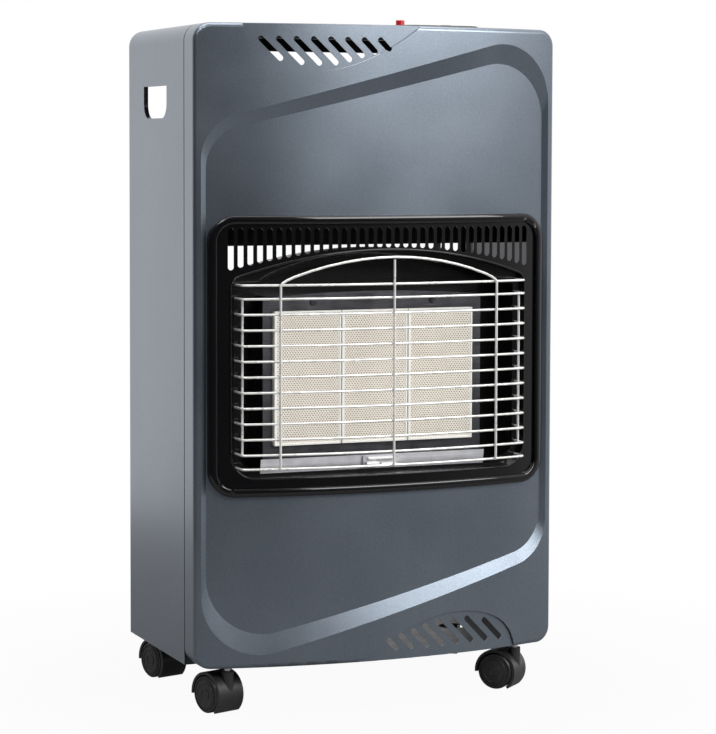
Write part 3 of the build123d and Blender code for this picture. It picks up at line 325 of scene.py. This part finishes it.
def inner_shade():
    """Painted shade inside the casing: a near-black colour in place of the shade that falls there. The
    casing's section is a rectangle of the given half width and top with its upper corners rounded. With
    q = |x| - (half width - round) and p = z - (top - round), the distance past it is
    |(max(q, 0), max(p, 0))| + min(max(q, p), 0) - round, and the paint turns to the painted shade where
    that is under minus half the sheet, between the front and back limits of y."""
    tree, given, out = group(
        "inner_shade",
        [("Vector", "Vector", None), ("Paint", "Color", None), ("Inner Shade", "Color", None),
         ("Half Width", "Float", 0.21), ("Top", "Float", 0.733), ("Round", "Float", 0.018),
         ("Half Sheet", "Float", 0.0005), ("Front", "Float", -0.0665), ("Back", "Float", 0.1256)],
        [("Color", "Color")],
    )
    math = partial(reckon, tree)
    place = add(tree, "ShaderNodeSeparateXYZ", {"Vector": given["Vector"]}).outputs
    q = math("ADD", math("SUBTRACT", math("ABSOLUTE", place["X"]), given["Half Width"]), given["Round"])
    p = math("ADD", math("SUBTRACT", place["Z"], given["Top"]), given["Round"])
    past_side, past_top = math("MAXIMUM", q, 0.0), math("MAXIMUM", p, 0.0)
    squares = math("ADD", math("MULTIPLY", past_side, past_side), math("MULTIPLY", past_top, past_top))
    deepest = math("MINIMUM", math("MAXIMUM", q, p), 0.0)
    distance = math("SUBTRACT", math("ADD", math("SQRT", squares), deepest), given["Round"])
    within = math("LESS_THAN", math("ADD", distance, given["Half Sheet"]), 0.0)
    behind = math("GREATER_THAN", place["Y"], given["Front"])
    before = math("LESS_THAN", place["Y"], given["Back"])
    # Where this share is 1, the colour is the painted shade of the casing's inside
    share = math("MULTIPLY", math("MULTIPLY", within, behind), before)
    put_out(tree, out, Color=between(tree, share, given["Paint"], given["Inner Shade"]))
    return tree


groups = {made.name: made for made in (flake_paint(), grain(), rolled_sheet(), pinholes(), inner_shade())}


def finish_of(name, effect, values, metallic=0.0, **fixed):
    """A material whose colour, roughness and bump come from one effect group; the rest is fixed."""
    made = bpy.data.materials.new(name)
    made.use_nodes = True
    tree = made.node_tree
    shader = tree.nodes["Principled BSDF"]
    shader.inputs["Metallic"].default_value = metallic
    for key, value in fixed.items():
        shader.inputs[key.replace("_", " ").title().replace("Ior", "IOR")].default_value = value
    place = add(tree, "ShaderNodeTexCoord").outputs["Object"]
    skin = add(tree, "ShaderNodeGroup", {"Vector": place, **values}, node_tree=groups[effect]).outputs
    tree.links.new(skin["Color"], shader.inputs["Base Color"])
    tree.links.new(skin["Roughness"], shader.inputs["Roughness"])
    tree.links.new(skin["Normal"], shader.inputs["Normal"])
    return made


def shaded_inside(paint, name, inner_shade_colour):
    """A copy of a paint that turns to a near-black painted shade inside the casing."""
    made = paint.copy()
    made.name = name
    tree = made.node_tree
    shader = tree.nodes["Principled BSDF"]
    colour = shader.inputs["Base Color"].links[0].from_node.outputs["Color"]
    place = tree.nodes["Texture Coordinate"].outputs["Object"]
    skin = add(
        tree, "ShaderNodeGroup", {"Vector": place, "Paint": colour, "Inner Shade": inner_shade_colour},
        node_tree=groups["inner_shade"],
    )
    tree.links.new(skin.outputs["Color"], shader.inputs["Base Color"])
    return made


panel_paint = finish_of(
    "panel_paint", "flake_paint",
    {"Body": tint(0.118, 0.142, 0.172), "Flake": tint(0.222, 0.256, 0.296), "Roughness": 0.34, "Peel": 0.08},
    metallic=0.9, coat_weight=0.2, coat_roughness=0.22,
)
# Inside the casing the shell's paint turns to a near-black painted shade
shell_paint = shaded_inside(panel_paint, "shell_paint", tint(0.035, 0.035, 0.038))
black_enamel = finish_of(
    "black_enamel", "flake_paint",
    {"Body": tint(0.0015, 0.0015, 0.0018), "Flake": tint(0.003, 0.003, 0.0034),
     "Roughness": 0.3, "Peel": 0.02},
    specular_ior_level=0.1, coat_weight=0.8, coat_roughness=0.05,
)
seam_black = finish_of(
    "seam_black", "flake_paint",
    {"Body": tint(0.008, 0.008, 0.009), "Flake": tint(0.015, 0.015, 0.017), "Roughness": 0.4, "Peel": 0.1},
)
fire_black = finish_of(
    "fire_black", "flake_paint",
    {"Body": tint(0.005, 0.005, 0.0055), "Flake": tint(0.011, 0.0105, 0.011),
     "Roughness": 0.24, "Peel": 0.16},
    specular_ior_level=0.4,
)
burner_plate = finish_of(
    "burner_plate", "rolled_sheet",
    {"Stretch": (25.0, 800.0, 800.0), "Dark": tint(0.050, 0.050, 0.056), "Light": tint(0.105, 0.105, 0.115),
     "Roughness": 0.34, "Depth": 0.1},
    metallic=0.85,
)
zinc_sheet = finish_of(
    "zinc_sheet", "rolled_sheet",
    {"Stretch": (30.0, 30.0, 700.0), "Dark": tint(0.42, 0.43, 0.45), "Light": tint(0.62, 0.63, 0.65),
     "Roughness": 0.34, "Depth": 0.12},
    metallic=0.9,
)
turned_zinc = finish_of(
    "turned_zinc", "rolled_sheet",
    {"Stretch": (60.0, 60.0, 2500.0), "Dark": tint(0.5, 0.5, 0.5), "Light": tint(0.74, 0.74, 0.73),
     "Roughness": 0.24, "Depth": 0.2},
    metallic=1.0,
)
polished_strip = finish_of(
    "polished_strip", "rolled_sheet",
    {"Stretch": (12.0, 300.0, 300.0), "Dark": tint(0.62, 0.62, 0.66), "Light": tint(0.92, 0.92, 0.95),
     "Roughness": 0.30, "Depth": 0.3},
    metallic=0.6,
)
bright_wire = finish_of(
    "bright_wire", "rolled_sheet",
    {"Stretch": (6.0, 6.0, 6.0), "Dark": tint(0.80, 0.79, 0.765), "Light": tint(0.85, 0.84, 0.815),
     "Roughness": 0.22, "Depth": 0.0},
    metallic=0.45,
)
brass_fittings = finish_of(
    "brass_fittings", "rolled_sheet",
    {"Stretch": (900.0, 60.0, 60.0), "Dark": tint(0.48, 0.33, 0.12), "Light": tint(0.72, 0.54, 0.24),
     "Roughness": 0.24, "Depth": 0.2},
    metallic=1.0,
)
cast_aluminium = finish_of(
    "cast_aluminium", "grain",
    {"Dark": tint(0.42, 0.43, 0.44), "Light": tint(0.66, 0.67, 0.69), "Scale": 700.0, "Depth": 0.3,
     "Roughness": 0.36},
    metallic=0.95,
)
# Dark steel for the base plate and heat shield, made near black as painted shade inside the casing
dark_steel_and_shade = finish_of(
    "dark_steel_and_shade", "rolled_sheet",
    {"Stretch": (40.0, 40.0, 500.0), "Dark": tint(0.010, 0.010, 0.011), "Light": tint(0.026, 0.026, 0.028),
     "Roughness": 0.42, "Depth": 0.1},
    metallic=0.3,
)
dark_screws = finish_of(
    "dark_screws", "rolled_sheet",
    {"Stretch": (60.0, 1800.0, 60.0), "Dark": tint(0.035, 0.035, 0.038), "Light": tint(0.10, 0.10, 0.11),
     "Roughness": 0.3, "Depth": 0.2},
    metallic=0.9,
)
pilot_ceramic = finish_of(
    "pilot_ceramic", "grain",
    {"Dark": tint(0.80, 0.80, 0.78), "Light": tint(0.92, 0.92, 0.91), "Scale": 900.0, "Depth": 0.1,
     "Roughness": 0.15},
    coat_weight=0.6, coat_roughness=0.08,
)
black_plastic = finish_of(
    "black_plastic", "grain",
    {"Dark": tint(0.010, 0.010, 0.011), "Light": tint(0.026, 0.026, 0.028), "Scale": 1400.0, "Depth": 0.35,
     "Roughness": 0.38},
)
hood_plastic = finish_of(
    "hood_plastic", "grain",
    {"Dark": tint(0.010, 0.010, 0.011), "Light": tint(0.030, 0.030, 0.032), "Scale": 1100.0, "Depth": 0.25,
     "Roughness": 0.30},
)
wheel_plastic = finish_of(
    "wheel_plastic", "grain",
    {"Dark": tint(0.012, 0.012, 0.013), "Light": tint(0.040, 0.040, 0.042), "Scale": 600.0, "Depth": 0.2,
     "Roughness": 0.34},
)
red_plastic = finish_of(
    "red_plastic", "grain",
    {"Dark": tint(0.38, 0.006, 0.010), "Light": tint(0.55, 0.015, 0.020), "Scale": 900.0, "Depth": 0.08,
     "Roughness": 0.18},
    coat_weight=0.5, coat_roughness=0.08,
)
white_print = finish_of(
    "white_print", "grain",
    {"Dark": tint(0.72, 0.72, 0.70), "Light": tint(0.86, 0.86, 0.84), "Scale": 1500.0, "Depth": 0.1,
     "Roughness": 0.5},
)


def plaque_ceramic(name, low, high, border=0.0029):
    """Pierced ceramic: pinholes with painted shade in them that sink, a warm face and a paler plain border.
    """
    made = bpy.data.materials.new(name)
    made.use_nodes = True
    tree = made.node_tree
    shader = tree.nodes["Principled BSDF"]
    shader.inputs["Specular IOR Level"].default_value = 0.2
    shader.inputs["Roughness"].default_value = 0.85
    place = add(tree, "ShaderNodeTexCoord").outputs["Object"]
    rows = add(
        tree,
        "ShaderNodeGroup",
        {"Vector": place, "Centre X": (low.x + high.x) / 2, "Centre Z": (low.z + high.z) / 2,
         "Half Width": (high.x - low.x) / 2 - border, "Half Height": (high.z - low.z) / 2 - border},
        node_tree=groups["pinholes"],
    ).outputs
    stain = noise(tree, place, 26.0, 4.0)
    fired = between(tree, stain, tint(0.86, 0.785, 0.68), tint(0.92, 0.87, 0.79))
    bare = between(tree, rows["Face"], tint(0.94, 0.93, 0.88), fired)
    # The holes get a dark brown painted shade
    face_with_shaded_holes = between(tree, rows["Mask"], bare, tint(0.22, 0.18, 0.14))
    rough_face = reckon(tree, "MULTIPLY_ADD", noise(tree, place, 1200.0, 2.0), 0.15, 1.0)
    sunk = reckon(tree, "SUBTRACT", rough_face, rows["Mask"])
    tree.links.new(face_with_shaded_holes, shader.inputs["Base Color"])
    tree.links.new(relief(tree, 0.6, 0.0006, sunk), shader.inputs["Normal"])
    return made


finishes = {
    "front_panel": panel_paint, "outer_shell": shell_paint, "seam_frame": seam_black,
    "base_plate": dark_steel_and_shade, "fire_surround": black_enamel, "firebox": fire_black,
    "burner_body": fire_black, "burner_frame": burner_plate, "burner_screws": dark_screws,
    "mixing_tubes": zinc_sheet, "gas_manifold": zinc_sheet, "injectors": brass_fittings,
    "manifold_brackets": zinc_sheet, "deflector": polished_strip, "pilot_bracket": polished_strip,
    "pilot_burner": pilot_ceramic, "spark_electrode": pilot_ceramic, "thermocouple": pilot_ceramic,
    "heat_shield": dark_steel_and_shade, "guard_crosswires": bright_wire, "guard_uprights": bright_wire,
    "guard_legs": bright_wire,
    "control_bezel": black_plastic, "control_knob": black_plastic, "valve_spindle": turned_zinc,
    "gas_valve": cast_aluminium, "inlet_nozzle": brass_fittings, "gas_pipe": cast_aluminium,
    "igniter_button": red_plastic, "piezo_igniter": black_plastic, "caster_stems": turned_zinc,
}
for place in caster_places:
    finishes["caster_hood_" + place] = hood_plastic
    finishes["caster_wheels_" + place] = wheel_plastic
    finishes["caster_axle_" + place] = turned_zinc
for place in ("left", "middle", "right"):
    plaque = "ceramic_plaque_" + place
    finishes[plaque] = plaque_ceramic(plaque + "_ceramic", *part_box(plaque))
for name, finish in finishes.items():
    nodes[name].data.materials.clear()
    nodes[name].data.materials.append(finish)


def dress(piece, finish, body):
    """Gives a new piece its finish and attaches it to its body."""
    piece.data.materials.append(finish)
    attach(piece, body)


# Weld nuggets where the guard's wires cross
crossings = [on_bulge(x, z, weld_standoff) for x in upright_places for z in wire_heights]
dress(
    beads("guard_welds", crossings, (0.0016, 0.0014, 0.0016), around=8, along=5),
    bright_wire, "cabinet",
)

# Enamel rolls: the surround's outer rim, and the lip round its arched window
rim_side, rim_foot, rim_top, rim_radius, rim_inset = 0.195, 0.183, 0.480, 0.027, 0.0045
rim_x, rim_low, rim_high = rim_side - rim_radius, rim_foot + rim_radius, rim_top - rim_radius
rim_round = rim_radius - rim_inset
rim_arcs = [
    (rim_x, rim_high, rim_round, 0, 90), (-rim_x, rim_high, rim_round, 90, 180),
    (-rim_x, rim_low, rim_round, 180, 270), (rim_x, rim_low, rim_round, 270, 360),
]
dress(
    rolled_bead("surround_rim", rim_arcs, standoff=0.0, half_width=0.0043, height=0.0016, root=0.0003),
    black_enamel, "cabinet",
)
lip_side, lip_foot, lip_shoulder, lip_crown = 0.1719, 0.2016, 0.4129, 0.4434
lip_foot_round, lip_shoulder_round = 0.0269, 0.0129
lip_rise = lip_crown - lip_shoulder
arch_radius = (lip_side**2 + lip_rise**2) / (2 * lip_rise)
arch_centre = lip_crown - arch_radius
shoulder_x = lip_side - lip_shoulder_round
shoulder_z = arch_centre + ((arch_radius - lip_shoulder_round) ** 2 - shoulder_x**2) ** 0.5
lean = float(np.degrees(np.arctan2(shoulder_z - arch_centre, shoulder_x)))
foot_x, foot_z = lip_side - lip_foot_round, lip_foot + lip_foot_round
lip_arcs = [
    (shoulder_x, shoulder_z, lip_shoulder_round, 0, lean),
    (0, arch_centre, arch_radius, lean, 180 - lean),
    (-shoulder_x, shoulder_z, lip_shoulder_round, 180 - lean, 180),
    (-foot_x, foot_z, lip_foot_round, 180, 270),
    (foot_x, foot_z, lip_foot_round, 270, 360),
]
dress(
    rolled_bead("window_lip", lip_arcs, standoff=-0.0025, half_width=0.0011, height=0.0009, root=0.0003),
    black_enamel, "cabinet",
)

# Knob: a fluted skirt, and an inlaid pointer on the grip
knob_centre = ((knob_low.x + knob_high.x) / 2, (knob_low.y + knob_high.y) / 2)
skirt_foot, skirt_top = knob_low.z + 0.0006, knob_low.z + 0.0054
dress(
    fluted_ring(
        "knob_flutes", knob_centre, radius=0.02295, flute_depth=0.00045, flutes=36,
        foot=skirt_foot, top=skirt_top,
    ),
    black_plastic, "knob",
)
pointer_reach, pointer_radii = 0.0125, (0.0009, 0.0075, 0.0002)
pointer = [(knob_centre[0], knob_centre[1] - pointer_reach, knob_high.z)]
dress(
    beads("knob_pointer", pointer, pointer_radii, around=24, along=9),
    white_print, "knob",
)

# Heat marks on the bezel: dots that grow round the knob
marks_radius, mark_height = 0.0296, 0.00016
turns = np.radians(np.array([-90.0, -30.0, 30.0, 90.0, 150.0]))
marks = np.stack(
    [knob_centre[0] + marks_radius * np.cos(turns), knob_centre[1] + marks_radius * np.sin(turns),
     0 * turns + bezel_top],
    axis=-1,
)
sizes = np.linspace(0.0007, 0.0016, len(turns))
mark_radii = np.stack([sizes, sizes, 0 * sizes + mark_height], axis=-1)
dress(
    beads("heat_marks", marks, mark_radii, around=18, along=7),
    white_print, "cabinet",
)

# Rings moulded on the outer faces of the wheels
ring_radii, ring_thickness = (0.006, 0.013), 0.0005
for place in caster_places:
    wheels = nodes["caster_wheels_" + place]
    axle_points = np.array([v.co for v in nodes["caster_axle_" + place].data.vertices])
    hub = Vector(((axle_points.max(0) + axle_points.min(0)) / 2).tolist())
    spread = np.linalg.svd(axle_points - axle_points.mean(0), full_matrices=False)[2][0]
    axle = Vector((float(spread[0]), float(spread[1]), 0)).normalized()
    reach = max(abs((v.co - hub).dot(axle)) for v in wheels.data.vertices)
    for side, word in ((-1, "near"), (1, "far")):
        face = hub + axle * (side * reach)
        dress(
            wheel_rings(f"wheel_rings_{place}_{word}", face, axle, ring_radii, ring_thickness),
            hood_plastic, "wheel_" + place,
        )


def studio_floor(radius=1.4, rings=7, around=64):
    """A round floor. A point is (reach * cos u, reach * sin u, 0) with the reach running out from the
    middle. It is dark to the lamps, and to the camera it is a white that grows from 0.95 near the part to
    the full white of the surroundings, so that it has no visible edge. Mirrors see a little of that."""
    reach = np.linspace(0.0, radius, rings + 1)[1:, None]
    u = np.linspace(0, 2 * pi, around, endpoint=False)[None, :]
    points = np.stack([reach * np.cos(u), reach * np.sin(u), 0 * reach * u], axis=-1)
    index = np.arange(rings * around).reshape(rings, around)
    quads = np.stack(
        [index[:-1], index[1:], np.roll(index[1:], -1, 1), np.roll(index[:-1], -1, 1)], axis=-1
    ).reshape(-1, 4)
    mesh = bpy.data.meshes.new("studio_floor")
    mesh.from_pydata(points.reshape(-1, 3).tolist(), [], quads.tolist() + [index[0].tolist()])
    piece = bpy.data.objects.new("studio_floor", mesh)
    bpy.context.scene.collection.objects.link(piece)
    made = bpy.data.materials.new("studio_floor")
    made.use_nodes = True
    tree = made.node_tree
    shader = tree.nodes["Principled BSDF"]
    shader.inputs["Base Color"].default_value = tint(0.20, 0.20, 0.204)
    shader.inputs["Roughness"].default_value = 0.9
    shader.inputs["Specular IOR Level"].default_value = 0.1
    place = add(tree, "ShaderNodeTexCoord").outputs["Object"]
    far = add(tree, "ShaderNodeVectorMath", {0: place}, operation="LENGTH").outputs["Value"]
    fade = add(
        tree, "ShaderNodeMapRange",
        {"Value": far, "From Min": 0.3, "From Max": 0.75, "To Min": 0.95, "To Max": 1.0},
    ).outputs[0]
    rays = add(tree, "ShaderNodeLightPath").outputs
    mirrored = reckon(tree, "MULTIPLY", rays["Is Glossy Ray"], 0.08)
    seen = reckon(tree, "MAXIMUM", rays["Is Camera Ray"], mirrored)
    share = reckon(tree, "MULTIPLY", seen, fade)
    white = add(tree, "ShaderNodeEmission", {"Color": tint(1, 1, 1), "Strength": 1.0}).outputs[0]
    mixed = add(tree, "ShaderNodeMixShader", {0: share, 1: shader.outputs[0], 2: white}).outputs[0]
    tree.links.new(mixed, tree.nodes["Material Output"].inputs["Surface"])
    mesh.materials.append(made)


def studio_world():
    """Soft surroundings: bright behind and to the right of the part, dim on the camera's side."""
    world = bpy.data.worlds.new("studio_world")
    bpy.context.scene.world = world
    world.use_nodes = True
    tree = world.node_tree
    tree.nodes.clear()
    way = add(tree, "ShaderNodeTexCoord").outputs["Generated"]
    brightest = Vector((0.52, 0.78, 0.36)).normalized()
    along = add(tree, "ShaderNodeVectorMath", {0: way, 1: brightest}, operation="DOT_PRODUCT")
    ramp = add(tree, "ShaderNodeValToRGB", {"Fac": stretch(tree, along.outputs["Value"], -1.0, 1.0)})
    ramp.color_ramp.elements[0].color = tint(0.03, 0.033, 0.04)
    ramp.color_ramp.elements[1].color = tint(1.0, 1.0, 1.0)
    for position, grey in ((0.2, 0.07), (0.42, 0.28), (0.62, 0.85), (0.8, 1.0)):
        ramp.color_ramp.elements.new(position).color = tint(grey, grey, grey * 1.02)
    soft = add(tree, "ShaderNodeBackground", {"Color": ramp.outputs["Color"], "Strength": 1.1}).outputs[0]
    white = add(tree, "ShaderNodeBackground", {"Color": tint(1, 1, 1), "Strength": 1.0}).outputs[0]
    seen = add(tree, "ShaderNodeLightPath").outputs["Is Camera Ray"]
    mixed = add(tree, "ShaderNodeMixShader", {0: seen, 1: soft, 2: white}).outputs[0]
    tree.links.new(mixed, add(tree, "ShaderNodeOutputWorld").inputs["Surface"])


def softbox(name, place, aim, size, power):
    """An area lamp at a place, turned to its aim."""
    lamp = bpy.data.lights.new(name, "AREA")
    lamp.shape = "RECTANGLE"
    lamp.size, lamp.size_y = size
    lamp.energy = power
    piece = bpy.data.objects.new(name, lamp)
    piece.location = place
    piece.rotation_euler = (Vector(aim) - Vector(place)).to_track_quat("-Z", "Y").to_euler()
    bpy.context.scene.collection.objects.link(piece)


studio_floor()
studio_world()
softbox("key_softbox", (-1.6, -2.1, 2.2), (0, 0, 0.5), (0.8, 0.8), 20)
softbox("right_softbox", (0.95, -1.8, 1.45), (0, 0, 0.9), (1.7, 1.0), 46)
softbox("top_softbox", (-0.1, -0.2, 2.2), (-0.1, -0.1, 0.5), (2.4, 1.0), 30)


def photo_camera(place, yaw, pitch, roll, focal_pixels, middle_row, height_pixels=734):
    """The camera at the place that the photograph was taken from. Its view is turned by yaw from +y towards
    +x, raised by pitch and rolled, and middle_row is the photograph's row that it looks along."""
    ahead = Vector((sin(yaw) * cos(pitch), cos(yaw) * cos(pitch), sin(pitch)))
    level = Vector((cos(yaw), -sin(yaw), 0))
    upward = level.cross(ahead)
    right = level * cos(roll) + upward * sin(roll)
    top = upward * cos(roll) - level * sin(roll)
    lens = bpy.data.cameras.new("photo_camera")
    lens.sensor_width = 36
    lens.lens = 36 * focal_pixels / height_pixels
    lens.shift_y = -(height_pixels / 2 - middle_row) / height_pixels
    camera = bpy.data.objects.new("photo_camera", lens)
    turn = Matrix((right, top, -ahead)).transposed().to_4x4()
    camera.matrix_world = Matrix.Translation(place) @ turn
    bpy.context.scene.collection.objects.link(camera)
    bpy.context.scene.camera = camera


seam_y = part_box("front_panel")[1].y
photo_camera(
    place=(-1.04082, seam_y - 2.47888, casing_foot + 0.55269),
    yaw=0.3937, pitch=-0.0588, roll=0.0029, focal_pixels=2468.75, middle_row=292.13,
)
bpy.context.scene.view_settings.view_transform = "Standard"
